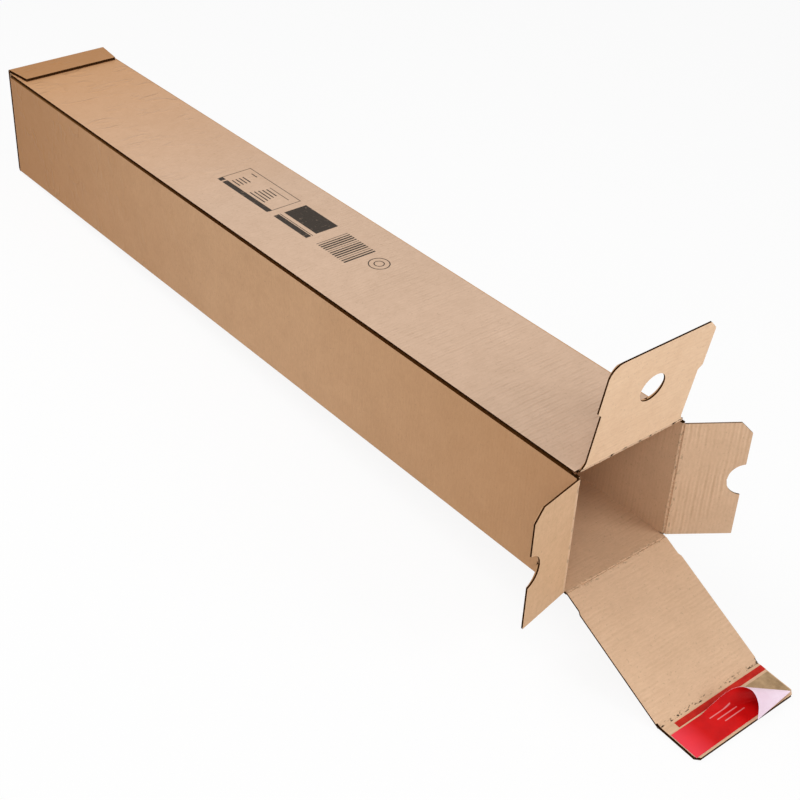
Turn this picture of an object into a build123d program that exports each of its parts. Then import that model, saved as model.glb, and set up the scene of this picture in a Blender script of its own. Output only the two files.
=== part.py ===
from build123d import *
import os
from math import atan2, cos, degrees, radians, sin

os.makedirs("parts", exist_ok=True)

# A long square mailing tube of corrugated board. X runs along the tube with the open end at +X,
# Z is up, and the origin is the centre of the base. The +X end is open, the -X end is sealed.

# Board and creases
board = 2.8
layer_gap = 0.5
crease_bead = 0.4
crease_gap = 1.2
crease_land = 0.4
edge_clearance = 0.6

# Tube
inside_width = 110.4
inside_height = 110.4
inside_length = 845.0
fold_radius = 2.4
seam_setback = 1.6
seam_fold_radius = 1.2
glue_tab_width = 30.0
glue_tab_taper = 12.0
glue_tab_setback = 10.0

# Top flap, the first to fold in, with a finger hole and two ears that grip the walls
top_flap_length = 100.0
top_flap_turn = 81.0
neck_depth = 4.0
neck_curve = 8.0
ear_start = 53.0
ear_rise = 3.5
round_corner = 12.0
clipped_corner = 8.0
finger_hole_diameter = 25.0

# Side flaps, the second to fold in, with half-round finger notches
side_flap_width = 54.0
left_flap_turn = 79.0
right_flap_turn = 55.0
side_flap_rise = 1.0
side_flap_clip = 10.0
notch_radius = 15.0
notch_offset = 2.0

# Closing flap, the last to fold in, and its glue lip
closing_flap_droop = 27.5
closing_flap_inset = 1.0
glue_lip_length = 38.5
glue_lip_inset = 2.5
lip_corner = 3.5
sealed_lip_length = 34.0
sealed_lip_taper = 3.5

# Tear strip, glue band and release film on the lip
tear_strip_width = 5.2
tear_strip_start = 4.6
tear_strip_inset = 11.5
tape_thickness = 0.2
glue_thickness = 0.25
film_thickness = 0.3
film_start = 11.2
film_margin = 1.6
film_inset = 0.4
glue_inset = 1.0
film_lift = 22.0
film_corner = 1.5

# The film's lifted edge, curling over from the right: along the lip, out from its crease, up from the glue
curl_edge = (
    (-9.0, 11.5, 5.5),
    (3.0, 13.5, 12.5),
    (11.0, 18.5, 16.5),
    (14.0, 27.0, 17.0),
    (11.0, 36.0, 13.0),
    (4.5, 42.5, 6.5),
)

# Worked out from the sizes above
width = inside_width + 2 * board
height = inside_height + 2 * board
half_width = width / 2
top_crease = inside_length / 2 + board
side_crease = top_crease + board + layer_gap
closing_crease = side_crease + board + layer_gap
mitre = board - crease_land
beyond = board + layer_gap
finger_height = height / 2
ear_half = inside_width / 2 - edge_clearance
neck_half = ear_half - neck_depth
closing_half = half_width - closing_flap_inset
lip_half = half_width - glue_lip_inset
closing_length = height + layer_gap + board
droop = radians(closing_flap_droop)
floor_slope = degrees(
    atan2(closing_length * sin(droop), 2 * closing_crease + closing_length * cos(droop))
)


def hinge_plane(place, turn_axis, inner_face, turn):
    """A flap's plane: x runs along its crease, y out across the flap, z to the flap's inner face."""
    out = Vector(1, 0, 0).rotate(Axis((0, 0, 0), turn_axis), turn)
    inner = Vector(*inner_face).rotate(Axis((0, 0, 0), turn_axis), turn)
    return Plane(origin=place, x_dir=out.cross(inner), z_dir=inner)


top_hinge = hinge_plane((top_crease, 0, height), (0, -1, 0), (0, 0, -1), top_flap_turn)
left_hinge = hinge_plane(
    (side_crease, -half_width, finger_height), (0, 0, -1), (0, 1, 0), left_flap_turn
)
right_hinge = hinge_plane(
    (side_crease, half_width, finger_height), (0, 0, 1), (0, -1, 0), right_flap_turn
)
closing_hinge = hinge_plane((closing_crease, 0, 0), (0, 1, 0), (0, 0, 1), closing_flap_droop)
lip_place = closing_hinge.from_local_coords((0, closing_length, 0))
lip_hinge = hinge_plane(lip_place, (0, 1, 0), (0, 0, 1), floor_slope)


def crease(flap, hinge, low, high):
    """Mitres a flap's inner edge at its crease and rounds the crease's axis with a small bead."""
    inner_edge = flap.edges().sort_by_distance(
        hinge.from_local_coords(((low + high) / 2, 0, board))
    )[0]
    chamfer(inner_edge, length=mitre)
    start = hinge.from_local_coords((low, 0, 0))
    with BuildSketch(Plane(origin=start, z_dir=hinge.x_dir)) as bead:
        Circle(crease_bead)
    extrude(bead.sketch, amount=high - low)


# The tube: four walls and a glue tab, folded from one sheet, with its sealed end folded shut
with BuildPart() as tube:
    with BuildSketch(Plane.YZ.offset(-closing_crease)) as section:
        with BuildLine():
            Polyline(
                (-half_width + seam_setback, height),
                (half_width, height),
                (half_width, 0),
                (-half_width, 0),
                (-half_width, height - board),
                (-half_width + seam_setback, height - board),
                close=True,
            )
        outside = make_face()
        corners = outside.vertices()
        folds = ((half_width, height), (half_width, 0), (-half_width, 0))
        fillet([corners.sort_by_distance((across, up, 0))[0] for across, up in folds], radius=fold_radius)
        seam_corner = section.vertices().sort_by_distance((-half_width, height - board, 0))[0]
        fillet(seam_corner, radius=seam_fold_radius)
        with Locations((0, height / 2)):
            Rectangle(inside_width, inside_height, mode=Mode.SUBTRACT)
    extrude(amount=2 * closing_crease)

    # Top wall: mitred at the open end, cut back at the sealed end
    with BuildSketch(Plane.XZ.offset(-width)):
        with BuildLine():
            Polyline(
                (top_crease - crease_gap, height + beyond),
                (top_crease - crease_gap, height - crease_land),
                (top_crease - crease_gap - mitre, height - board),
                (closing_crease + beyond, height - board),
                (closing_crease + beyond, height + beyond),
                close=True,
            )
        make_face()
        with Locations((-(top_crease + closing_crease + beyond) / 2, height - board)):
            Rectangle(closing_crease + beyond - top_crease, board + beyond, align=(Align.CENTER, Align.MIN))
    extrude(amount=2 * width, mode=Mode.SUBTRACT)

    # Side walls: mitred at the open end, cut back at the sealed end
    with BuildSketch(Plane.XY.offset(board)):
        for side in (-1, 1):
            with BuildLine():
                Polyline(
                    (side_crease - crease_gap, side * (half_width + beyond)),
                    (side_crease - crease_gap, side * (half_width - crease_land)),
                    (side_crease - crease_gap - mitre, side * (half_width - board)),
                    (closing_crease + beyond, side * (half_width - board)),
                    (closing_crease + beyond, side * (half_width + beyond)),
                    close=True,
                )
            make_face()
            with Locations(
                (-(side_crease + closing_crease + beyond) / 2, side * (half_width - board + beyond))
            ):
                Rectangle(closing_crease + beyond - side_crease, 2 * beyond)
    extrude(amount=height, mode=Mode.SUBTRACT)

    # Base wall: mitred at the open end
    with BuildSketch(Plane.XZ.offset(-width)):
        with BuildLine():
            Polyline(
                (closing_crease - crease_gap, -beyond),
                (closing_crease - crease_gap, crease_land),
                (closing_crease - crease_gap - mitre, board),
                (closing_crease + beyond, board),
                (closing_crease + beyond, -beyond),
                close=True,
            )
        make_face()
    extrude(amount=2 * width, mode=Mode.SUBTRACT)

    # Glue tab under the top wall, folded from the left wall, with tapered ends
    tab_end = top_crease - board - glue_tab_setback
    with BuildSketch(Plane.XY.offset(height - 2 * board)):
        with BuildLine():
            Polyline(
                (-tab_end, -half_width + board / 2),
                (tab_end, -half_width + board / 2),
                (tab_end - glue_tab_taper, -half_width + glue_tab_width),
                (-tab_end + glue_tab_taper, -half_width + glue_tab_width),
                close=True,
            )
        make_face()
    extrude(amount=board)

    # Sealed end: top flap inside, side flaps over it, closing flap over them
    with BuildSketch(Plane.YZ.offset(-top_crease)):
        with Locations((0, height)):
            Rectangle(2 * ear_half, top_flap_length, align=(Align.CENTER, Align.MAX))
    extrude(amount=board)
    with BuildSketch(Plane.YZ.offset(-side_crease)):
        for side in (-1, 1):
            with Locations((side * (half_width - side_flap_width / 2), finger_height)):
                Rectangle(side_flap_width, inside_height - 2 * edge_clearance)
    extrude(amount=board)
    with BuildSketch(Plane.YZ.offset(-closing_crease)):
        Rectangle(2 * closing_half, closing_length, align=(Align.CENTER, Align.MIN))
    extrude(amount=board)

    # Sealed end's lip, folded over onto the top wall
    with BuildSketch(Plane.XY.offset(height + layer_gap)):
        with BuildLine():
            Polyline(
                (-closing_crease, -closing_half),
                (-closing_crease, closing_half),
                (-closing_crease + sealed_lip_length, closing_half - sealed_lip_taper),
                (-closing_crease + sealed_lip_length, -closing_half + sealed_lip_taper),
                close=True,
            )
        make_face()
    extrude(amount=board)

tube.part.label = "tube"
export_step(tube.part, "parts/tube.step")

# Glue band and tear strip under the sealed lip
with BuildPart() as sealed_glue_band:
    with BuildSketch(Plane.XY.offset(height)):
        with Locations((-closing_crease + (film_start + sealed_lip_length - film_margin) / 2, 0)):
            Rectangle(
                sealed_lip_length - film_margin - film_start,
                2 * (closing_half - sealed_lip_taper - glue_inset),
            )
    extrude(amount=layer_gap)

sealed_glue_band.part.label = "sealed_glue_band"
export_step(sealed_glue_band.part, "parts/sealed_glue_band.step")

with BuildPart() as sealed_tear_strip:
    with BuildSketch(Plane.XY.offset(height + layer_gap - tape_thickness)):
        with Locations((-closing_crease + tear_strip_start + tear_strip_width / 2, tear_strip_inset / 2)):
            Rectangle(tear_strip_width, 2 * closing_half - sealed_lip_taper - tear_strip_inset)
    extrude(amount=tape_thickness)

sealed_tear_strip.part.label = "sealed_tear_strip"
export_step(sealed_tear_strip.part, "parts/sealed_tear_strip.step")

# Top flap
with BuildPart() as top_flap:
    with BuildSketch(top_hinge) as outline_sketch:
        with BuildLine():
            left_edge = Polyline(
                (-neck_half, neck_curve),
                (-neck_half, ear_start),
                (-ear_half, ear_start + ear_rise),
                (-ear_half, top_flap_length),
                (ear_half, top_flap_length),
                (ear_half, ear_start + ear_rise),
                (neck_half, ear_start),
                (neck_half, neck_curve),
            )
            RadiusArc(left_edge @ 1, (ear_half, 0), neck_curve * 2)
            Line((ear_half, 0), (-ear_half, 0))
            RadiusArc((-ear_half, 0), left_edge @ 0, neck_curve * 2)
        outline = make_face()
        clipped = outline.vertices().sort_by_distance((ear_half, top_flap_length, 0))[0]
        chamfer(clipped, length=clipped_corner)
        rounded = outline_sketch.vertices().sort_by_distance((-ear_half, top_flap_length, 0))[0]
        fillet(rounded, radius=round_corner)
        with Locations((0, finger_height)):
            Circle(finger_hole_diameter / 2, mode=Mode.SUBTRACT)
    extrude(amount=board)
    crease(top_flap, top_hinge, -ear_half, ear_half)

top_flap.part.label = "top_flap"
export_step(top_flap.part, "parts/top_flap.step")

# Side flaps, each drawn on its own crease: the left one's x runs up, the right one's down
side_half = inside_height / 2 - edge_clearance


def side_flap_outline(up):
    """Half-round notch in the free edge, the upper outer corner clipped, the top edge rising a little."""
    with BuildLine() as edge:
        Polyline(
            (-up * side_half, 0),
            (-up * side_half, side_flap_width),
            (up * (side_half + side_flap_rise - side_flap_clip), side_flap_width),
            (up * (side_half + side_flap_rise), side_flap_width - side_flap_clip),
            (up * side_half, 0),
            close=True,
        )
    make_face(edge.edges())
    with Locations((0, side_flap_width + notch_offset)):
        Circle(notch_radius, mode=Mode.SUBTRACT)


with BuildPart() as left_flap:
    with BuildSketch(left_hinge):
        side_flap_outline(1)
    extrude(amount=board)
    crease(left_flap, left_hinge, -side_half, side_half)

left_flap.part.label = "left_flap"
export_step(left_flap.part, "parts/left_flap.step")

with BuildPart() as right_flap:
    with BuildSketch(right_hinge):
        side_flap_outline(-1)
    extrude(amount=board)
    crease(right_flap, right_hinge, -side_half, side_half)

right_flap.part.label = "right_flap"
export_step(right_flap.part, "parts/right_flap.step")

# Closing flap, mitred at both its creases
with BuildPart() as closing_flap:
    with BuildSketch(closing_hinge):
        Rectangle(2 * closing_half, closing_length - crease_gap, align=(Align.CENTER, Align.MIN))
    extrude(amount=board)
    outer_edge = closing_flap.edges().sort_by_distance(
        closing_hinge.from_local_coords((0, closing_length - crease_gap, board))
    )[0]
    chamfer(outer_edge, length=mitre)
    crease(closing_flap, closing_hinge, -closing_half, closing_half)

closing_flap.part.label = "closing_flap"
export_step(closing_flap.part, "parts/closing_flap.step")

# Glue lip
with BuildPart() as glue_lip:
    with BuildSketch(lip_hinge):
        lip = Rectangle(2 * lip_half, glue_lip_length, align=(Align.CENTER, Align.MIN))
        outer_corners = [
            lip.vertices().sort_by_distance((end, glue_lip_length, 0))[0]
            for end in (-lip_half, lip_half)
        ]
        chamfer(outer_corners, length=lip_corner)
    extrude(amount=board)
    crease(glue_lip, lip_hinge, -lip_half, lip_half)

glue_lip.part.label = "glue_lip"
export_step(glue_lip.part, "parts/glue_lip.step")

# Tear strip along the lip's crease, short of the left end
with BuildPart() as tear_strip:
    with BuildSketch(lip_hinge.offset(board)):
        with Locations((-tear_strip_inset / 2, tear_strip_start + tear_strip_width / 2)):
            Rectangle(2 * lip_half - tear_strip_inset, tear_strip_width)
    extrude(amount=tape_thickness)

tear_strip.part.label = "tear_strip"
export_step(tear_strip.part, "parts/tear_strip.step")

# Glue band on the lip
film_end = glue_lip_length - film_margin
with BuildPart() as glue_band:
    with BuildSketch(lip_hinge.offset(board)):
        with Locations((0, (film_start + film_end) / 2)):
            Rectangle(2 * (lip_half - glue_inset), film_end - film_start - 2 * glue_inset)
    extrude(amount=glue_thickness)

glue_band.part.label = "glue_band"
export_step(glue_band.part, "parts/glue_band.step")

# Release film: stuck down at the left, peeled at the right, where it curls over from its last stuck corner
film_base = board + glue_thickness + film_thickness / 2
stuck_corner = lip_hinge.from_local_coords((film_corner - lip_half, film_end, film_base))
lifted_edge = [lip_hinge.from_local_coords((film_lift, film_start, film_base))]
for along, out, up in curl_edge:
    lifted_edge.append(lip_hinge.from_local_coords((-along, out, film_base + up)))

with BuildPart() as release_film:
    with BuildSketch(lip_hinge.offset(board + glue_thickness)):
        with BuildLine():
            Polyline(
                (lip_half - film_inset, film_end),
                (lip_half - film_inset, film_start),
                (film_lift, film_start),
                (film_corner - lip_half, film_end),
                close=True,
            )
        make_face()
    extrude(amount=film_thickness)
    for near, far in zip(lifted_edge, lifted_edge[1:]):
        facet = Plane(
            origin=stuck_corner,
            x_dir=near - stuck_corner,
            z_dir=(near - stuck_corner).cross(far - stuck_corner),
        )
        with BuildSketch(facet):
            with BuildLine():
                Polyline(
                    (0, 0),
                    facet.to_local_coords(near),
                    facet.to_local_coords(far),
                    close=True,
                )
            make_face()
        extrude(amount=film_thickness / 2, both=True)

release_film.part.label = "release_film"
export_step(release_film.part, "parts/release_film.step")
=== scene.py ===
import bpy
import numpy as np
from mathutils import Euler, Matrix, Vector


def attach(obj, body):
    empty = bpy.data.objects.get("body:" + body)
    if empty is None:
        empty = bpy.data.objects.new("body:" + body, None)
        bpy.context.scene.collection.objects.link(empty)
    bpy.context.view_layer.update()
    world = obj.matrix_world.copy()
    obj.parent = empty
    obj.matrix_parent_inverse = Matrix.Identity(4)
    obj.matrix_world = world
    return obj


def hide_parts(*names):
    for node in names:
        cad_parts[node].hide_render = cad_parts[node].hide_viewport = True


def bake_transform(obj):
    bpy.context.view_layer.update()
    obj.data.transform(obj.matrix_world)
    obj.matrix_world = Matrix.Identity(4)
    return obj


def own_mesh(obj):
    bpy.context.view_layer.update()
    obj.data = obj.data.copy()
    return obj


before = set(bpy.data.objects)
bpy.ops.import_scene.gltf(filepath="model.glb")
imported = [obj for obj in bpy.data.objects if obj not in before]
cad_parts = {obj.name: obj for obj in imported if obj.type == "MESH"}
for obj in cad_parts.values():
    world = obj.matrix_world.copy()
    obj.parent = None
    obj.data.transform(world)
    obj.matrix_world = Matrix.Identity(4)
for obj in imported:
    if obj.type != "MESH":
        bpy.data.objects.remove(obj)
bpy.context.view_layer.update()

# Sizes of the board and the tube, in metres
BOARD = 0.0028
GAP = 0.0005
LINER = 0.00036
MEDIUM = 0.00022
FLUTE = 0.0066
WIDTH = HEIGHT = 0.116
HALF = WIDTH / 2
INSIDE = WIDTH - 2 * BOARD
TOP_X = 0.4225 + BOARD
SIDE_X = TOP_X + BOARD + GAP
CLOSE_X = SIDE_X + BOARD + GAP
SEAM = -HALF + 0.0002
SEAM_RADIUS = 0.0016
PLAY = 0.0006
TOP_LENGTH = 0.100
SIDE_WIDTH = 0.054
SIDE_HALF = INSIDE / 2 - PLAY
CLOSE_HALF = HALF - 0.001
CLOSE_LENGTH = HEIGHT + GAP + BOARD
LIP_HALF = HALF - 0.0025
LIP_LENGTH = 0.0385
LIP_CORNER = 0.0035
SEALED_LIP = 0.034
SEALED_TAPER = 0.0035
FILM_THICKNESS = 0.00012
FILM_BASE = BOARD + 0.0004
TOP_TURN, LEFT_TURN, RIGHT_TURN, DROOP = np.radians([81.0, 79.0, 55.0, 27.5])
SLOPE = np.arctan2(CLOSE_LENGTH * np.sin(DROOP), 2 * CLOSE_X + CLOSE_LENGTH * np.cos(DROOP))

# Top flap: half its width at the ears, the neck below them, its two corners and the finger hole
EAR = INSIDE / 2 - PLAY
EAR_STEP = 0.004
EAR_FOOT, EAR_TIP = 0.053, 0.0565
NECK_CURVE = 0.008
CORNER_ROUND = 0.012
CORNER_CLIP = 0.008
HOLE_RADIUS = 0.0125

# Side flaps: a clipped corner, and a notch whose centre lies beyond the free edge
SIDE_CLIP = 0.010
NOTCH_RADIUS = 0.015
NOTCH_BEYOND = 0.002

# Closing flap: how much narrower it is at its crease, how far out, and over what length that ends
RELIEF = 0.0014
RELIEF_REACH = 0.016
RELIEF_FADE = 0.003

# Glue tab: how far its ends stop short, how long they taper, and its width at the ends and between
TAB_SHORT = 0.010
TAB_TAPER = 0.012
TAB_TIP = 0.003
TAB_WIDTH = 0.030

# Torn fibres: points along a crease, and how far they stand up on a flap's crease and on the lip's
TEAR_POINTS = 140
FLAP_TEAR = 0.0013
LIP_TEAR = 0.0006
LIP_TEAR_SEED = 9

# How far the liner and the flutes stop short of a crease or of a cut edge
MITRE_WALL = 0.0036
MITRE_FLAP = 0.0024
RECESS = 0.0028

# Depth and breadth of the edges that the cutting die pressed thin
CRUSH = 0.0014
PINCHED = 0.0022

# Pitch of the teeth along a lip's cut edge
TOOTH = 0.0030

# Half the soft edge of a printed line
INK_EDGE = 0.0002

# Spacing of the rows of points on the top wall and the flaps, on the other walls, and on hidden board
FLAP_STEP = 0.004
WALL_STEP = 0.01
HIDDEN_STEP = 0.02

X, Y, Z = np.eye(3)


class Place:
    """A sheet's own frame: u along its crease, v out across it, n from its outer to its inner face."""

    def __init__(self, origin, v, n):
        self.o, self.v, self.n = (np.asarray(a, float) for a in (origin, v, n))
        self.u = np.cross(self.v, self.n)

    def world(self, u, v, n):
        u, v, n = (np.asarray(a, float)[..., None] for a in np.broadcast_arrays(u, v, n))
        return self.o + u * self.u + v * self.v + n * self.n


def turned(v, n, angle):
    """The pair of directions after the sheet turns outward by angle, away from its inner face."""
    return np.cos(angle) * v - np.sin(angle) * n, np.cos(angle) * n + np.sin(angle) * v


TOP_FLAP = Place((TOP_X, 0, HEIGHT), *turned(X, -Z, TOP_TURN))
LEFT_FLAP = Place((SIDE_X, -HALF, HEIGHT / 2), *turned(X, Y, LEFT_TURN))
RIGHT_FLAP = Place((SIDE_X, HALF, HEIGHT / 2), *turned(X, -Y, RIGHT_TURN))
CLOSE_FLAP = Place((CLOSE_X, 0, 0), *turned(X, Z, DROOP))
LIP = Place(CLOSE_FLAP.o + CLOSE_LENGTH * CLOSE_FLAP.v, *turned(X, Z, SLOPE))


# Meshes

def grid_faces(rows, cols):
    """Quads of a grid of rows by cols points, closed around the columns."""
    i, j = np.meshgrid(np.arange(rows - 1), np.arange(cols), indexing="ij")
    k = (j + 1) % cols
    corners = [i * cols + k, i * cols + j, (i + 1) * cols + j, (i + 1) * cols + k]
    return np.stack(corners, -1).reshape(-1, 4)


def shell(front, back, sheet):
    """A closed thin sheet from two grids of points, its front and its back, joined round the rim. Gives the
    points, the quads, the sheet coordinates and each quad's side: 0 the front, 1 the rim, 2 the back."""
    rows, cols = front.shape[:2]
    points = np.concatenate([front, back[:, ::-1]], 1).reshape(-1, 3)
    uv = np.concatenate([sheet, sheet[:, ::-1]], 1).reshape(-1, 2)
    j = np.arange(cols - 1)
    first = np.stack([j, j + 1, 2 * cols - 2 - j, 2 * cols - 1 - j], -1)
    last = first[:, ::-1] + (rows - 1) * 2 * cols
    faces = np.concatenate([grid_faces(rows, 2 * cols), first, last])
    column = np.tile(np.arange(2 * cols), rows - 1)
    side = np.where(column % cols == cols - 1, 1, 2 * (column // cols))
    side = np.concatenate([side, np.ones(2 * (cols - 1), int)])
    a, b, c, d = np.moveaxis((points - points.mean(0))[faces], 1, 0)
    if np.sum(a * (np.cross(b, c) + np.cross(c, d))) < 0:
        faces = faces[:, ::-1]
    return points, faces, uv, side


def trimmed(v, lo, hi, start, end, step):
    """The rows of an outline between start and end, resampled at about the given step."""
    rows = max(int(np.ceil((end - start) / step)), 1) + 1
    near = [end - PINCHED] if end - PINCHED > start else []
    at = np.unique(np.concatenate([np.linspace(start, end, rows), near, v[(v > start) & (v < end)]]))
    return at, np.interp(at, v, lo), np.interp(at, v, hi)


def board(place, patches, start=(0, 0, 0), end=(0, RECESS, 0), crush=0.0, step=HIDDEN_STEP):
    """Corrugated board on an outline: outer liner, inner liner, and between them a medium whose depth
    is a sine of v. Each patch gives v and the outline's two sides; start and end cut back the outer
    liner, the medium and the inner liner at the first and the last row; crush is how far the cutting
    die has pressed the outer liner in along the sides and the last row."""
    sheets = []
    first, last = min(p[0][0] for p in patches), max(p[0][-1] for p in patches)
    for v, lo, hi in (tuple(np.asarray(a, float) for a in p) for p in patches):
        for k, pitch in enumerate((step, FLUTE / 14, step)):
            a = v[0] + (start[k] if v[0] == first else 0)
            b = v[-1] - (end[k] if v[-1] == last else 0)
            if b <= a:
                continue
            rows, left, right = trimmed(v, lo, hi, a, b, pitch)
            inset = np.minimum(PINCHED, (right - left) / 3)
            u = np.stack([left, left + inset, right - inset, right], 1)
            at_end = np.clip(1 - (b - rows) / PINCHED, 0, 1) * (v[-1] == last and end[2] == 0)
            pressed = crush * np.maximum(at_end[:, None], [1.0, 0.0, 0.0, 1.0])
            room = BOARD - 2 * LINER - MEDIUM - pressed
            wave = pressed + LINER + room * (0.5 + 0.5 * np.sin(2 * np.pi * rows / FLUTE))[:, None]
            low, thick = ((pressed, LINER), (wave, MEDIUM), (BOARD - LINER + 0 * u, LINER))[k]
            vv = np.broadcast_to(rows[:, None], u.shape)
            faces = [place.world(u, vv, n) for n in (low, low + thick)]
            points, quads, uv, side = shell(*faces, np.stack([u, vv], -1))
            sheets.append((points, quads, uv, np.where(side == (0, -1, 2)[k], side, 1)))
    return sheets


def serration(place, edge, half):
    """The toothed cut along a free edge: between the liners, a sheet whose distance from the edge is a sine
    of u."""
    u = np.linspace(-half, half, int(half * 2 / TOOTH * 10))
    back = edge - TOOTH / 2 * (1 + 0.6 * np.sin(2 * np.pi * u / TOOTH))
    depth = np.array([LINER, BOARD - LINER])[:, None]
    faces = [place.world(u[None], back[None] - t, depth) for t in (0.0, MEDIUM)]
    points, quads, uv, side = shell(*faces, np.stack(np.broadcast_arrays(u[None], depth), -1))
    return points, quads, uv, np.where(side == 0, 3, 1)


def plate(low, high, half_low, half_high):
    """A patch with straight sides between two rows."""
    halves = np.array([half_low, half_high], float)
    return [(np.array([low, high], float), -halves, halves)]


def strip(front, back, along, half, cols=2, tear=0.0, seed=0):
    """A sheet swept along a path given on its front and its back, 2 half wide. Random tears lift its front by
    up to tear and fade to nothing, by a sine, at both ends of the path."""
    u = np.linspace(-half, half, cols)
    fade = np.sin(np.linspace(0, np.pi, len(front)))[:, None]
    torn = np.random.default_rng(seed).random(cols) ** 4 * tear * fade
    lift = (front - back) / np.linalg.norm(front - back, axis=1, keepdims=True)
    far = np.concatenate([[0], np.cumsum(np.linalg.norm(np.diff(front, axis=0), axis=1))])
    sheet = np.stack(np.broadcast_arrays(u[None], far[:, None]), -1)
    sideways = u[None, :, None] * np.asarray(along, float)
    return shell(front[:, None] + sideways + torn[..., None] * lift[:, None], back[:, None] + sideways, sheet)


def fold(centre, along, e0, e1, angle, half, back=0.0, on=0.0, press=0.0, radius=BOARD, **torn_edge):
    """A liner bent round a crease: straight for back, an arc of the given angle about the crease's line from
    direction e0 towards e1, then straight for on. Half way round, the radius is less by the share press. What
    else is given goes to strip."""
    t = np.concatenate([[0.0] * (back > 0), np.linspace(0, angle, 14), [angle] * (on > 0)])
    radial = np.cos(t)[:, None] * e0 + np.sin(t)[:, None] * e1
    tangent = -np.sin(t)[:, None] * e0 + np.cos(t)[:, None] * e1
    run = np.zeros(len(t))
    run[0] -= back
    run[-1] += on
    base = np.asarray(centre, float) + run[:, None] * tangent
    depth = radius * (1 - press * np.sin(np.pi * t / angle))[:, None]
    return strip(base + depth * radial, base + (depth - LINER) * radial, along, half, **torn_edge)


def make_piece(name, sheets, body, materials, nodes=()):
    """One mesh object from sheets of points, quads, sheet coordinates and sides, a material for each side."""
    starts = np.cumsum([0] + [len(s[0]) for s in sheets[:-1]])
    points, uv, side = (np.concatenate([s[k] for s in sheets]) for k in (0, 2, 3))
    faces = np.concatenate([s[1] + k for s, k in zip(sheets, starts)])
    mesh = bpy.data.meshes.new(name)
    mesh.vertices.add(len(points))
    mesh.vertices.foreach_set("co", points.astype(np.float32).ravel())
    mesh.loops.add(faces.size)
    mesh.loops.foreach_set("vertex_index", faces.astype(np.int32).ravel())
    mesh.polygons.add(len(faces))
    mesh.polygons.foreach_set("loop_start", np.arange(0, faces.size, 4, dtype=np.int32))
    mesh.polygons.foreach_set("use_smooth", np.ones(len(faces), bool))
    for material in materials:
        mesh.materials.append(material)
    mesh.polygons.foreach_set("material_index", side.astype(np.int32))
    mesh.update(calc_edges=True)
    layer = mesh.uv_layers.new(name="sheet")
    layer.data.foreach_set("uv", uv[faces.ravel()].astype(np.float32).ravel())
    mesh.validate()
    mesh.set_sharp_from_angle(angle=np.radians(35))
    piece = bpy.data.objects.new(name, mesh)
    bpy.context.collection.objects.link(piece)
    if body:
        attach(piece, body)
    if nodes:
        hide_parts(*nodes)
    return piece


# Materials

class Nodes:
    """Short calls for building a node tree."""

    def __init__(self, tree):
        self.tree = tree

    def add(self, kind, **values):
        node = self.tree.nodes.new(kind)
        inputs = values.pop("inputs", {})
        for key, value in values.items():
            setattr(node, key, value)
        for key, value in inputs.items():
            self.put(node.inputs[key], value)
        return node

    def put(self, socket, value):
        if isinstance(value, bpy.types.NodeSocket):
            self.tree.links.new(value, socket)
        else:
            socket.default_value = value

    def math(self, operation, *values, clamp=False):
        node = self.add("ShaderNodeMath", operation=operation, use_clamp=clamp)
        for socket, value in zip(node.inputs, values):
            self.put(socket, value)
        return node.outputs[0]

    def vector(self, operation, *values):
        node = self.add("ShaderNodeVectorMath", operation=operation)
        for socket, value in zip(node.inputs, values):
            self.put(socket, value)
        return node.outputs["Value" if operation in ("LENGTH", "DOT_PRODUCT") else "Vector"]

    def mix(self, share, a, b):
        node = self.add("ShaderNodeMix", data_type="RGBA")
        self.put(node.inputs[0], share)
        self.put(node.inputs[6], a)
        self.put(node.inputs[7], b)
        return node.outputs[2]

    def noise(self, place, scale, detail=2.0, rough=0.5):
        values = {"Vector": place, "Scale": scale, "Detail": detail, "Roughness": rough}
        return self.add("ShaderNodeTexNoise", inputs=values).outputs[0]

    def span(self, value, low, high, to_low=0.0, to_high=1.0):
        node = self.add("ShaderNodeMapRange", clamp=True)
        for socket, v in zip(node.inputs, (value, low, high, to_low, to_high)):
            self.put(socket, v)
        return node.outputs[0]


def new_material(name):
    """An empty node material; returns it and its helper."""
    material = bpy.data.materials.new(name)
    material.use_nodes = True
    material.node_tree.nodes.clear()
    return material, Nodes(material.node_tree)


def group(name, inputs, outputs):
    """An empty node group with named sockets; returns its tree, its helper, and its two ends."""
    tree = bpy.data.node_groups.new(name, "ShaderNodeTree")
    for direction, sockets in (("INPUT", inputs), ("OUTPUT", outputs)):
        for socket, kind in sockets:
            tree.interface.new_socket(name=socket, in_out=direction, socket_type=kind)
    n = Nodes(tree)
    return tree, n, n.add("NodeGroupInput").outputs, n.add("NodeGroupOutput").inputs


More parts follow.
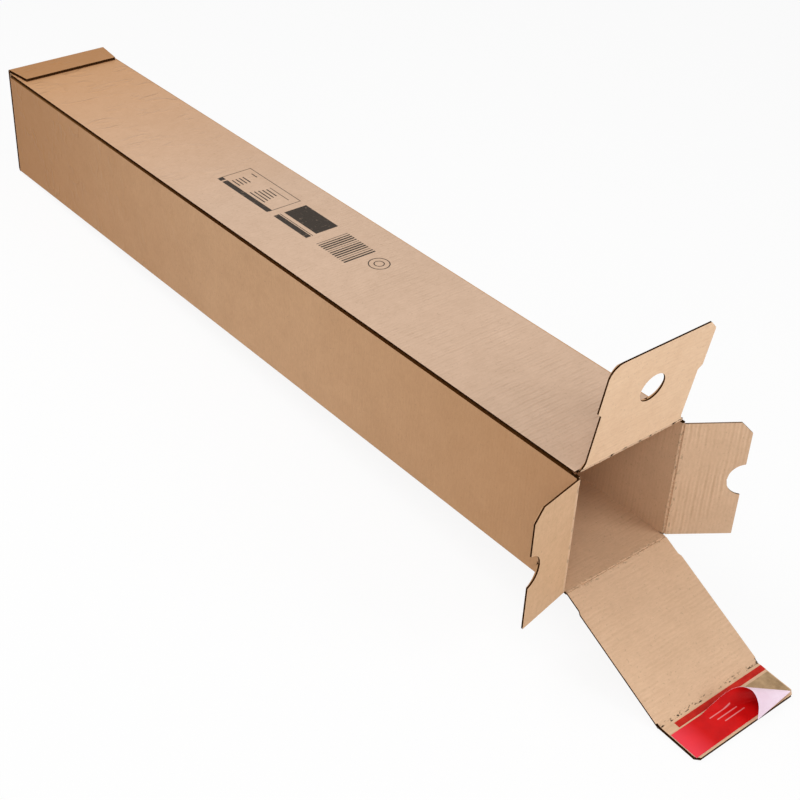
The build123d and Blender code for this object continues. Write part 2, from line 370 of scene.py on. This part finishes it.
def paper_group():
    """Kraft paper: cloudy tone, long fibres, dark flecks, the flutes showing through as streaks towards the
    open end, and short wrinkles across the tube towards the sealed end."""
    tree, n, given, out = group(
        "kraft_paper",
        [("Position", "NodeSocketVector"), ("Across", "NodeSocketFloat"), ("Streaks", "NodeSocketFloat")],
        [("Tone", "NodeSocketFloat"), ("Flecks", "NodeSocketFloat"), ("Height", "NodeSocketFloat")],
    )
    place = given["Position"]
    cloud = n.noise(place, 9.0, 4.0, 0.6)
    patch = n.noise(place, 60.0, 3.0, 0.6)
    fibre = n.noise(n.vector("MULTIPLY", place, (1.0, 0.22, 0.3)), 900.0, 3.0, 0.7)
    wave = n.math("SINE", n.math("MULTIPLY", given["Across"], 2 * np.pi / FLUTE))
    wobble = n.math("MULTIPLY", n.noise(place, 70.0), 4.0)
    fine = n.math("SINE", n.math("MULTIPLY_ADD", given["Across"], 4 * np.pi / FLUTE, wobble))
    wave = n.math("MULTIPLY_ADD", fine, 0.7, n.math("MULTIPLY", wave, 0.5))
    along = n.add("ShaderNodeSeparateXYZ", inputs={0: place}).outputs[0]
    open_end = n.span(along, -0.1, 0.4, 0.15, 1.0)
    uneven = n.math("MULTIPLY", n.span(n.noise(place, 26.0, 2.0), 0.35, 0.7), open_end)
    streak = n.math("MULTIPLY", n.math("MULTIPLY", wave, uneven), given["Streaks"])
    tone = n.math("MULTIPLY_ADD", n.math("SUBTRACT", cloud, 0.5), 0.3, 0.5)
    tone = n.math("MULTIPLY_ADD", n.math("SUBTRACT", patch, 0.5), 0.3, tone)
    tone = n.math("MULTIPLY_ADD", n.math("SUBTRACT", fibre, 0.5), 0.5, tone)
    tone = n.math("MULTIPLY_ADD", streak, 0.2, tone, clamp=True)
    n.put(out["Tone"], tone)
    n.put(out["Flecks"], n.span(n.noise(place, 520.0, 1.0), 0.66, 0.74))
    height = n.math("MULTIPLY_ADD", fibre, 0.25, n.math("MULTIPLY", streak, 0.75))
    drawn = n.vector("MULTIPLY", place, (1.7, 0.55, 1.0))
    ridge = n.math("ABSOLUTE", n.math("SUBTRACT", n.noise(drawn, 46.0, 1.0), 0.5))
    here = n.span(n.noise(place, 38.0, 1.0), 0.46, 0.6)
    wrinkle = n.math("MULTIPLY", n.span(ridge, 0.0, 0.09, 2.4, 0.0), here)
    wrinkle = n.math("MULTIPLY", wrinkle, n.span(along, -0.28, 0.0, 1.0, 0.1))
    height = n.math("MULTIPLY_ADD", patch, 0.5, height)
    n.put(out["Height"], n.math("ADD", height, wrinkle))
    return tree


def field_group():
    """A flat printed field: 1 inside a box on the sheet, 0 outside, with a soft edge."""
    tree, n, given, out = group(
        "printed_field",
        [("Position", "NodeSocketVector"), ("Centre", "NodeSocketVector"), ("Half", "NodeSocketVector")],
        [("Mask", "NodeSocketFloat")],
    )
    away = n.vector("ABSOLUTE", n.vector("SUBTRACT", given["Position"], given["Centre"]))
    beyond = n.add("ShaderNodeSeparateXYZ", inputs={0: n.vector("SUBTRACT", away, given["Half"])}).outputs
    n.put(out["Mask"], n.span(n.math("MAXIMUM", beyond[0], beyond[1]), -INK_EDGE, INK_EDGE, 1.0, 0.0))
    return tree


PAPER = paper_group()
FIELD = field_group()


def printed(n, place, fields):
    """The ink of printed boxes, each given by its centre and its two half sides."""
    ink = 0.0
    for x, y, half_x, half_y in fields:
        box = n.add("ShaderNodeGroup", node_tree=FIELD)
        n.put(box.inputs["Position"], place)
        n.put(box.inputs["Centre"], (x, y, 0.0))
        n.put(box.inputs["Half"], (half_x, half_y, 0.0))
        ink = n.math("MAXIMUM", ink, box.outputs["Mask"])
    return ink


def surface(n, colour, rough, sheen, strength, distance, height):
    """The material's shader, with a bump of the given strength and distance from a height."""
    bump = n.add("ShaderNodeBump", inputs={"Strength": strength, "Distance": distance, "Height": height})
    values = {"Base Color": colour, "Roughness": rough, "Specular IOR Level": sheen}
    shader = n.add("ShaderNodeBsdfPrincipled", inputs=values | {"Normal": bump.outputs[0]})
    n.add("ShaderNodeOutputMaterial", inputs={"Surface": shader.outputs[0]})


def kraft(name, dark, light, streaks=0.2, far=None, near=0.0, sheen=0.5, relief=0.35, torn=0.0, fields=(),
          rings=()):
    """Kraft liner with the flutes showing through by the share streaks. It turns to a far tone at the sealed
    end and, by the share near, at the open end, a painted shade. It may have boxes and rings of dark ink,
    or dark nicks where a crease has torn it, their darkness painted shade in the cracks."""
    material, n = new_material(name)
    coords = n.add("ShaderNodeTexCoord").outputs
    across = n.add("ShaderNodeSeparateXYZ", inputs={0: coords["UV"]}).outputs[1]
    given = {"Position": coords["Object"], "Across": across, "Streaks": streaks}
    paper = n.add("ShaderNodeGroup", node_tree=PAPER)
    for key, value in given.items():
        n.put(paper.inputs[key], value)
    colour = n.mix(paper.outputs["Tone"], dark, light)
    colour = n.mix(n.math("MULTIPLY", paper.outputs["Flecks"], 0.18), colour, FLECK)
    # Painted shade along the tube: towards the sealed end, and by near towards the open end
    if far:
        along = n.add("ShaderNodeSeparateXYZ", inputs={0: coords["Object"]}).outputs[0]
        sealed_end_shade = n.span(along, -CLOSE_X, -0.05, 0.75, 0.0)
        open_end_shade = n.span(along, 0.1, 0.35, 0.0, near)
        colour = n.mix(n.math("MAXIMUM", sealed_end_shade, open_end_shade), colour, far)
    if fields:
        worn = n.span(n.noise(coords["Object"], 300.0, 2.0), 0.25, 0.4, 0.8, 0.97)
        ink = printed(n, coords["Object"], fields)
        for x, y, radius, half_line in rings:
            away = n.vector("MULTIPLY", n.vector("SUBTRACT", coords["Object"], (x, y, 0.0)), (1.0, 1.0, 0.0))
            off = n.math("ABSOLUTE", n.math("SUBTRACT", n.vector("LENGTH", away), radius))
            ring = n.span(off, half_line - INK_EDGE, half_line + INK_EDGE, 1.0, 0.0)
            ink = n.math("MAXIMUM", ink, ring)
        ink = n.math("MULTIPLY", ink, worn)
        colour = n.mix(ink, colour, INK)
        sheen = n.math("MULTIPLY_ADD", ink, -0.9 * sheen, sheen)
    # Dark nicks where a crease has torn: the tears are wear, their darkness painted shade in the cracks
    if torn:
        nicks = n.noise(n.vector("MULTIPLY", coords["UV"], (1.0, 2.0, 0.0)), 190.0, 3.0, 0.7)
        clusters = n.span(n.noise(coords["UV"], 60.0, 1.0), 0.34, 0.48)
        clusters = n.math("MULTIPLY", clusters, n.span(across, 0.0012, 0.0026, 0.0, torn))
        nick_painted_shade = n.math("MULTIPLY", n.span(nicks, 0.54, 0.6), clusters)
        colour = n.mix(nick_painted_shade, colour, NICK_PAINTED_SHADE)
        sheen = n.math("MULTIPLY_ADD", nick_painted_shade, -sheen, sheen)
    rough = n.span(paper.outputs["Tone"], 0.0, 1.0, 0.75, 0.55)
    surface(n, colour, rough, sheen, relief, 0.0004, paper.outputs["Height"])
    return material


def smooth_finish(name, colour_a, colour_b, scale, rough, sheen=0.5, painted_glare_and_print=None):
    """A thin film or glue: two close tones in soft clouds, with a smooth finish and perhaps a paler end, a
    painted highlight. That is given by where it starts and where it is full, its glare colour, and the pale
    lines printed on the film."""
    material, n = new_material(name)
    coords = n.add("ShaderNodeTexCoord").outputs
    cloud = n.span(n.noise(coords["Object"], scale, 3.0), 0.3, 0.7)
    colour = n.mix(cloud, colour_a, colour_b)
    if painted_glare_and_print:
        start, end, painted_glare, fields = painted_glare_and_print
        along = n.add("ShaderNodeSeparateXYZ", inputs={0: coords["UV"]}).outputs[0]
        # Painted highlight: the film turns paler towards its end; then the lines printed on it
        colour = n.mix(n.span(along, start, end, 0.0, 0.8), colour, painted_glare)
        colour = n.mix(n.math("MULTIPLY", printed(n, coords["UV"], fields), 0.45), colour, PALE_INK)
    uneven = n.span(cloud, 0.0, 1.0, rough, rough + 0.1)
    surface(n, colour, uneven, sheen, 0.2, 0.0003, n.noise(coords["Object"], scale * 2))
    return material


# Colours: the dark and the light tone of each paper (the top wall's lighter by a painted sheen), its tone
# at the far end, which is painted shade, inks, and marks
OUTER_DARK = (0.40, 0.215, 0.100, 1)
OUTER_LIGHT = (0.70, 0.41, 0.215, 1)
# The top wall's tones are lighter and pinker than the other walls' by a painted sheen
TOP_PAINTED_SHEEN_DARK = (0.43, 0.28, 0.180, 1)
TOP_PAINTED_SHEEN_LIGHT = (0.74, 0.52, 0.375, 1)
INNER_DARK = (0.51, 0.318, 0.182, 1)
INNER_LIGHT = (0.87, 0.590, 0.385, 1)
INK = (0.030, 0.026, 0.022, 1)
PALE_INK = (0.95, 0.6, 0.6, 1)
# Far tones: painted shade, darker and more saturated where the ends of the tube get less light
OUTER_FAR_SHADE = (0.39, 0.160, 0.035, 1)
TOP_FAR_SHADE = (0.58, 0.270, 0.085, 1)
# The fold under the top wall's cut edge is painted shade, paler towards the sealed end
SEAM_PAINTED_SHADE_FAR = (0.26, 0.12, 0.04, 1)
# Nicks: painted shade in the cracks of the torn creases
NICK_PAINTED_SHADE = (0.03, 0.016, 0.008, 1)
FLECK = (0.16, 0.085, 0.04, 1)

# Printed fields on the top wall, each by its centre and half sides: a framed panel with short lines and a
# dark band, a dark block with its own band, a row of bars, and a round mark
PANEL_LINES = [(-0.083, -0.003 + 0.004 * k, 0.0065, 0.0007) for k in range(4)]
PANEL_LINES += [(-0.048, -0.003 + 0.004 * k, 0.0120 - 0.001 * k, 0.0007) for k in range(5)]
PANEL_LINES += [(-0.086, 0.020, 0.0045, 0.0006), (-0.042, 0.0175, 0.0150, 0.0004)]
PRINT = [
    (-0.0975, -0.0095, 0.0030, 0.0030),
    (-0.0560, -0.0095, 0.0365, 0.0030),
    (-0.0600, 0.0255, 0.0410, 0.0004),
    (-0.1005, 0.0080, 0.0004, 0.0180),
    (-0.0195, 0.0080, 0.0004, 0.0180),
    (0.0145, 0.0125, 0.0245, 0.0125),
    (0.0150, -0.0045, 0.0250, 0.0004),
    (0.0150, -0.0090, 0.0250, 0.0030),
]
BARS = [(0.0540 + 0.0033 * k, 0.0065, 0.0004 + 0.0002 * (7 * k * k % 5), 0.0175) for k in range(13)]
PRINT += PANEL_LINES + BARS
ROUND_MARK = [(0.113, 0.013, 0.0095, 0.0005), (0.113, 0.013, 0.0045, 0.0005)]
FILM_LINES = [(-0.008 + 0.004 * k, 0.0175 + 0.0042 * k, 0.011, 0.0004) for k in range(3)]

# The outer walls darken towards both ends of the tube by painted shade
outer = kraft("kraft_outer", OUTER_DARK, OUTER_LIGHT, far=OUTER_FAR_SHADE, near=0.35, relief=0.6)
# The top wall's liner: its print, and a painted sheen in its lighter tones
printed_outer_painted_sheen = kraft(
    "kraft_printed_painted_sheen", TOP_PAINTED_SHEEN_DARK, TOP_PAINTED_SHEEN_LIGHT, 0.7, TOP_FAR_SHADE, relief=1.0, fields=PRINT, rings=ROUND_MARK
)
inner = kraft("kraft_inner", INNER_DARK, INNER_LIGHT, streaks=0.4)
streaked = kraft("kraft_streaked", INNER_DARK, INNER_LIGHT, streaks=1.0)
# Creases with dark nicks: the tears are wear, their darkness painted shade
torn = kraft("kraft_torn_painted_shade", INNER_DARK, INNER_LIGHT, streaks=0.0, torn=0.35)
nicked_painted_shade = kraft("kraft_nicked_painted_shade", INNER_DARK, INNER_LIGHT, streaks=0.0, torn=1.0)
# The board's cut edges and flutes: the medium's own darker brown and, nearly black, painted shade of the
# hollows between the liners
core_painted_shade = kraft("board_core_painted_shade", (0.028, 0.008, 0.001, 1), (0.10, 0.040, 0.012, 1), streaks=0.0, sheen=0.0)
# A paler copy for the right flap's cut edges: painted light on its lit edges
core_painted_light = kraft("core_painted_light", (0.16, 0.10, 0.055, 1), (0.34, 0.22, 0.13, 1), streaks=0.0, sheen=0.0)
# The lips' toothed cut edges, darkened as painted shade on edges turned from the light
toothed = kraft("toothed_edge_painted_shade", (0.045, 0.016, 0.004, 1), (0.15, 0.068, 0.026, 1), streaks=0.0, sheen=0.0)
# The left wall's fold under the top wall's edge, painted almost black: painted shade in the groove there
seam_painted_shade = kraft(
    "kraft_seam_painted_shade", (0.030, 0.008, 0.001, 1), (0.085, 0.030, 0.006, 1), streaks=0.0, far=SEAM_PAINTED_SHADE_FAR, sheen=0.0
)
# The left flap's inner face: a darker, more saturated copy of the inner liner, painted shade
inner_painted_shade = kraft("kraft_inner_painted_shade", (0.48, 0.287, 0.150, 1), (0.82, 0.525, 0.310, 1), streaks=0.15)
# The top flap's inner face: a lighter copy of the inner liner, painted light
inner_painted_light = kraft("kraft_inner_painted_light", (0.66, 0.405, 0.235, 1), (0.97, 0.700, 0.465, 1), streaks=0.4)
PANEL = (outer, core_painted_shade, inner)

tear_red = smooth_finish("tear_tape", (0.45, 0.012, 0.008, 1), (0.62, 0.03, 0.018, 1), 120.0, 0.35, 0.1)
glue_kraft = smooth_finish("glue_on_kraft", (0.33, 0.215, 0.110, 1), (0.52, 0.355, 0.200, 1), 160.0, 0.4, 0.2)
film_red = smooth_finish(
    "release_film", (0.56, 0.003, 0.004, 1), (0.72, 0.008, 0.008, 1), 60.0, 0.3, 0.15,
    # The film's paler end is a painted highlight; the lines on it are print
    painted_glare_and_print=(-0.032, -0.052, (0.90, 0.06, 0.09, 1), FILM_LINES),
)
film_pale = smooth_finish("film_back", (0.86, 0.64, 0.76, 1), (0.94, 0.75, 0.87, 1), 60.0, 0.3)

# Walls of the tube
wall_end = (0, RECESS, MITRE_WALL)
top_rows = np.array([-TOP_X, TOP_X])
top_wall = board(
    Place((0, 0, HEIGHT), X, -Z), [(top_rows, np.full(2, SEAM), np.full(2, HALF - BOARD))],
    end=wall_end, step=FLAP_STEP,
)
make_piece("top_wall", top_wall, "tube", (printed_outer_painted_sheen, core_painted_shade, inner), ["tube"])
for name, place, lo, hi, near in (
    ("base_wall", Place((0, 0, 0), X, Z), -HALF + BOARD, HALF - BOARD, CLOSE_X),
    ("left_wall", Place((0, -HALF, 0), X, Y), BOARD, HEIGHT - BOARD - SEAM_RADIUS, SIDE_X),
    ("right_wall", Place((0, HALF, 0), X, -Y), -(HEIGHT - BOARD), -BOARD, SIDE_X),
):
    rows = np.array([-near + BOARD, near])
    sheets = board(place, [(rows, np.full(2, lo), np.full(2, hi))], end=wall_end, step=WALL_STEP)
    make_piece(name, sheets, "tube", PANEL, ["tube"])

# Long folds between the walls, and the tab folded under the top wall
corner = np.pi / 2
folds = [
    fold((0, HALF - BOARD, HEIGHT - BOARD), X, Z, Y, corner, TOP_X),
    fold((0, HALF - BOARD, BOARD), X, Y, -Z, corner, SIDE_X),
    fold((0, -HALF + BOARD, BOARD), X, -Z, -Y, corner, SIDE_X),
]
make_piece("long_folds", folds, "tube", PANEL, ["tube"])
# The left wall's fold under the top wall's cut edge, in the painted shade material
seam_line = (0, -HALF + SEAM_RADIUS, HEIGHT - BOARD - SEAM_RADIUS)
seam_fold = fold(seam_line, X, -Y, Z, corner, TOP_X - BOARD, radius=SEAM_RADIUS)
make_piece("seam_fold", [seam_fold], "tube", (seam_painted_shade, core_painted_shade, inner), ["tube"])
tab_half = TOP_X - BOARD - TAB_SHORT
tab_rows = np.array([-tab_half, -tab_half + TAB_TAPER, tab_half - TAB_TAPER, tab_half])
tab_edge = -HALF + np.array([TAB_TIP, TAB_WIDTH, TAB_WIDTH, TAB_TIP])
tab = board(Place((0, 0, HEIGHT - BOARD), X, -Z), [(tab_rows, np.full(4, -HALF + BOARD), tab_edge)])
make_piece("glue_tab", tab, "tube", PANEL, ["tube"])

# Sealed end: the top flap inside, the side flaps over it, the closing flap and its lip over them
sealed = board(Place((-TOP_X, 0, HEIGHT), -Z, X), plate(BOARD, TOP_LENGTH, EAR, EAR))
for side in (-1, 1):
    flap = Place((-SIDE_X, side * HALF, HEIGHT / 2), -side * Y, X)
    sealed += board(flap, plate(BOARD, SIDE_WIDTH, SIDE_HALF, SIDE_HALF))
    crease = (-SIDE_X + BOARD, side * (HALF - BOARD), HEIGHT / 2)
    sealed.append(fold(crease, Z, side * Y, -X, corner, SIDE_HALF))
closed = plate(BOARD, CLOSE_LENGTH - BOARD, CLOSE_HALF, CLOSE_HALF)
sealed += board(Place((-CLOSE_X, 0, 0), Z, X), closed, end=(0, 0, 0))
sealed.append(fold((-CLOSE_X + BOARD, 0, BOARD), Y, -Z, -X, corner, CLOSE_HALF))
sealed.append(fold((-CLOSE_X + BOARD, 0, CLOSE_LENGTH - BOARD), Y, -X, Z, corner, CLOSE_HALF))
lip = plate(BOARD, SEALED_LIP, CLOSE_HALF, CLOSE_HALF - SEALED_TAPER)
sealed_lip = Place((-CLOSE_X, 0, CLOSE_LENGTH), X, -Z)
sealed += board(sealed_lip, lip) + [serration(sealed_lip, SEALED_LIP, CLOSE_HALF - SEALED_TAPER)]
make_piece("sealed_end", sealed, "tube", PANEL + (toothed,), ["tube"])

# Top flap: a curved neck, two ears, a round and a clipped corner, and a finger hole
curve = np.linspace(0, corner, 9)
round_v = TOP_LENGTH - CORNER_ROUND * (1 - np.sin(curve))
flap_v = np.concatenate([NECK_CURVE * curve / corner, [EAR_FOOT, EAR_TIP], round_v])
side_u = np.concatenate([EAR - EAR_STEP * np.sin(curve), [EAR - EAR_STEP, EAR]])
flap_lo = np.concatenate([-side_u, -EAR + CORNER_ROUND * (1 - np.cos(curve))])
flap_hi = np.concatenate([side_u, EAR - np.clip(round_v - TOP_LENGTH + CORNER_CLIP, 0, None)])
arc = np.linspace(0, np.pi, 25)
hole_v, hole_u = HEIGHT / 2 - HOLE_RADIUS * np.cos(arc), HOLE_RADIUS * np.sin(arc)


def flap_rows(start, end, extra=()):
    """The top flap's outline between two rows."""
    at = np.concatenate([flap_v, extra])
    at = np.unique(np.concatenate([[start, end], at[(at > start) & (at < end)]]))
    return at, np.interp(at, flap_v, flap_lo), np.interp(at, flap_v, flap_hi)


beside = flap_rows(hole_v[0], hole_v[-1], hole_v)
rim = np.interp(beside[0], hole_v, hole_u)
patches = [flap_rows(0, hole_v[0]), (beside[0], beside[1], -rim), (beside[0], rim, beside[2])]
patches.append(flap_rows(hole_v[-1], TOP_LENGTH))
flap_start = (0, RECESS, MITRE_FLAP)
top = board(TOP_FLAP, patches, flap_start, crush=CRUSH, step=FLAP_STEP)
make_piece("top_flap_board", top, "top_flap", (outer, core_painted_shade, inner_painted_light), ["top_flap"])


def side_patches(up):
    """A side flap's rows: a clipped upper corner, a rising top edge and a half-round notch in the free
    edge."""
    notch = SIDE_WIDTH + NOTCH_BEYOND - NOTCH_RADIUS
    v = np.concatenate([[0], np.linspace(notch, SIDE_WIDTH, 14)])
    tip = SIDE_HALF + PLAY
    top = np.interp(v, [0, SIDE_WIDTH - SIDE_CLIP, SIDE_WIDTH], [SIDE_HALF, tip, tip - SIDE_CLIP])
    depth = np.clip(NOTCH_RADIUS**2 - (SIDE_WIDTH + NOTCH_BEYOND - v) ** 2, 0, None) ** 0.5
    foot = np.full(len(v), -SIDE_HALF)
    rows = [(v[:2], foot[:2], top[:2]), (v[1:], foot[1:], -depth[1:]), (v[1:], depth[1:], top[1:])]
    return rows if up > 0 else [(a, -c, -b) for a, b, c in rows]


left = board(LEFT_FLAP, side_patches(1), flap_start, crush=CRUSH, step=FLAP_STEP)
make_piece("left_flap_board", left, "left_flap", (outer, core_painted_shade, inner_painted_shade), ["left_flap"])
right = board(RIGHT_FLAP, side_patches(-1), flap_start, crush=CRUSH, step=FLAP_STEP)
make_piece("right_flap_board", right, "right_flap", (outer, core_painted_light, streaked), ["right_flap"])
closing_rows = np.array([0, RELIEF_REACH, RELIEF_REACH + RELIEF_FADE, CLOSE_LENGTH])
closing_half = CLOSE_HALF - np.array([RELIEF, RELIEF, 0, 0])
closing_patch = [(closing_rows, -closing_half, closing_half)]
closing = board(CLOSE_FLAP, closing_patch, flap_start, wall_end, crush=CRUSH, step=FLAP_STEP)
make_piece("closing_flap_board", closing, "closing_flap", PANEL, ["closing_flap"])
lip_half = LIP_HALF - np.array([0, 0, LIP_CORNER])
lip_rows = np.array([0, LIP_LENGTH - LIP_CORNER, LIP_LENGTH])
lip = board(LIP, [(lip_rows, -lip_half, lip_half)], flap_start, step=FLAP_STEP)
lip.append(serration(LIP, LIP_LENGTH, LIP_HALF - LIP_CORNER))
make_piece("glue_lip_board", lip, "glue_lip", PANEL + (toothed,), ["glue_lip"])

# Inner liner bent round the creases of the open end
for seed, (name, place, wall, turn, half, body, paper) in enumerate((
    ("top_crease", TOP_FLAP, -Z, TOP_TURN, EAR, "top_flap", nicked_painted_shade),
    ("left_crease", LEFT_FLAP, Y, LEFT_TURN, SIDE_HALF, "left_flap", torn),
    ("right_crease", RIGHT_FLAP, -Y, RIGHT_TURN, SIDE_HALF, "right_flap", torn),
    ("closing_crease", CLOSE_FLAP, Z, DROOP, CLOSE_HALF - RELIEF, "closing_flap", torn),
)):
    sunk = 0.5 * np.sin(turn)
    bent = fold(
        place.o, place.u, wall, X, turn, half, MITRE_WALL, MITRE_FLAP, sunk,
        cols=TEAR_POINTS, tear=FLAP_TEAR, seed=seed,
    )
    piece = make_piece(name, [bent], None, (paper, core_painted_shade, core_painted_shade))
    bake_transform(piece)
    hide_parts(body)

# Inner liner bent the other way, into the lip's crease
valley = BOARD * np.tan((DROOP - SLOPE) / 2)
paths = [
    np.stack([
        CLOSE_FLAP.world(0, CLOSE_LENGTH - MITRE_WALL, n),
        CLOSE_FLAP.world(0, CLOSE_LENGTH - valley, n),
        LIP.world(0, MITRE_FLAP, n),
    ])
    for n in (BOARD, BOARD - LINER)
]
lip_crease = strip(*paths, Y, LIP_HALF, TEAR_POINTS, LIP_TEAR, LIP_TEAR_SEED)
piece = make_piece("lip_crease", [lip_crease], None, (nicked_painted_shade, core_painted_shade, core_painted_shade))
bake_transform(piece)
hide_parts("glue_lip")


# Release film

def through(points, steps):
    """A smooth curve through the points, each stretch a cubic that meets the next with the same slope."""
    p = np.asarray(points, float)
    p = np.concatenate([[2 * p[0] - p[1]], p, [2 * p[-1] - p[-2]]])
    t = np.linspace(0, 1, steps, endpoint=False)[:, None]
    stretches = [
        b + t / 2 * (c - a + t * (2 * a - 5 * b + 4 * c - d + t * (3 * b - a - 3 * c + d)))
        for a, b, c, d in zip(p, p[1:], p[2:], p[3:])
    ]
    return np.concatenate(stretches + [p[-2:-1]])


# The film's edge on the lip, by u, v and height: its stuck corners, then the peeled edge
stuck = [(-0.0551, 0.0369, 0.0), (-0.0551, 0.0112, 0.0), (-0.0385, 0.0112, 0.0)]
curl = [
    (-0.022, 0.0112, 0.0), (-0.009, 0.0115, 0.0055), (0.003, 0.0135, 0.0125), (0.011, 0.0185, 0.0165),
    (0.014, 0.0270, 0.0170), (0.011, 0.0360, 0.0130), (0.0045, 0.0425, 0.0065),
]
last_stuck = np.array([0.054, 0.0362, 0.0])
edge = np.concatenate([np.linspace(a, b, 8, endpoint=False) for a, b in zip(stuck, stuck[1:] + curl[:1])])
peel = len(edge)
edge = np.concatenate([edge, through(curl, 14)])
flat = edge.copy()
flat[peel:, 0] = np.linspace(curl[0][0], last_stuck[0], len(edge) - peel)
flat[peel:, 1] = curl[0][1]
share = np.linspace(0.03, 1, 16)[:, None, None]
fan, sheet = (last_stuck + share * (e - last_stuck) for e in (edge, flat))
film = LIP.world(-fan[..., 0], fan[..., 1], fan[..., 2] + FILM_BASE)

# The film's red face looks away from the lip where the film is stuck
facing = np.cross(np.gradient(film, axis=0), np.gradient(film, axis=1))
facing *= np.sign(facing[8, 4] @ LIP.n) / np.linalg.norm(facing, axis=-1, keepdims=True)
film_faces = (film + facing * FILM_THICKNESS / 2, film - facing * FILM_THICKNESS / 2)
film_sheet = shell(*film_faces, sheet[..., :2])
film_finish = (film_red, film_pale, film_pale)
film_piece = make_piece("film", [film_sheet], "glue_lip", film_finish, ["release_film"])
tuple(LIP.world(0, LIP_LENGTH / 2, FILM_BASE))
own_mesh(film_piece)

# Tear strips and glue bands keep their solids and get a finish
for node, material in (
    ("tear_strip", tear_red), ("sealed_tear_strip", tear_red),
    ("glue_band", glue_kraft), ("sealed_glue_band", glue_kraft),
):
    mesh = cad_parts[node].data
    mesh.materials.clear()
    mesh.materials.append(material)


# Floor, light and camera

def seen_directly(n):
    """1 for the rays by which the camera sees a thing, straight or in a reflection, and 0 for its light."""
    path = n.add("ShaderNodeLightPath").outputs
    straight = n.math("MAXIMUM", path["Is Camera Ray"], path["Is Glossy Ray"])
    return n.math("MAXIMUM", straight, path["Is Transmission Ray"])


floor = bpy.data.meshes.new("floor")
reach = 6.0
clearance = 0.0006
xs = np.array([-reach, reach, reach, -reach])
ys = np.array([-reach, -reach, reach, reach])
zs = -(xs + CLOSE_X) * np.tan(SLOPE) - clearance
floor.from_pydata(np.stack([xs, ys, zs], 1).tolist(), [], [(0, 1, 2, 3)])
floor_object = bpy.data.objects.new("floor", floor)
bpy.context.collection.objects.link(floor_object)
white, n = new_material("pale_floor")
lit = n.add("ShaderNodeBsdfDiffuse", inputs={"Color": (0.9, 0.9, 0.9, 1)})
glow = n.add("ShaderNodeEmission", inputs={"Color": (1, 1, 1, 1), "Strength": 1.0})
glow_share = n.math("MULTIPLY", seen_directly(n), 0.9)
both = n.add("ShaderNodeMixShader", inputs={0: glow_share, 1: lit.outputs[0], 2: glow.outputs[0]})
n.add("ShaderNodeOutputMaterial", inputs={"Surface": both.outputs[0]})
floor.materials.append(white)

world = bpy.data.worlds.new("studio")
bpy.context.scene.world = world
world.use_nodes = True
n = Nodes(world.node_tree)
world.node_tree.nodes.clear()
strength = n.math("MULTIPLY_ADD", seen_directly(n), 0.6, 0.4)
backdrop = n.add("ShaderNodeBackground", inputs={"Color": (1, 1, 1, 1), "Strength": strength})
n.add("ShaderNodeOutputWorld", inputs={"Surface": backdrop.outputs[0]})


def lamp(name, place, target, size, watts):
    """A soft square lamp that faces a point."""
    light = bpy.data.lights.new(name, "AREA")
    light.shape = "SQUARE"
    light.size = size
    light.energy = watts
    thing = bpy.data.objects.new(name, light)
    thing.location = place
    thing.rotation_euler = (Vector(target) - Vector(place)).to_track_quat("-Z", "Y").to_euler()
    bpy.context.collection.objects.link(thing)


lamp("key_lamp", (-0.10, -0.42, 1.15), (0.0, 0.0, 0.1), 0.8, 7.5)
lamp("front_lamp", (1.2, -0.9, 1.0), (0.5, 0.0, 0.1), 0.6, 4.6)
lamp("side_lamp", (1.6, 0.6, 0.9), (0.5, 0.0, 0.1), 0.8, 8.2)

camera = bpy.data.cameras.new("photo_camera")
camera.sensor_width = 36.0
camera.lens = 68.082
camera.clip_end = 50.0
camera_object = bpy.data.objects.new("photo_camera", camera)
camera_object.location = (0.99024, -0.72346, 0.77905)
camera_object.rotation_euler = Euler(np.radians([54.7911, -2.5432, 50.5515]).tolist(), "XYZ")
bpy.context.collection.objects.link(camera_object)
bpy.context.scene.camera = camera_object
bpy.context.scene.view_settings.view_transform = "Standard"

bpy.context.view_layer.update()
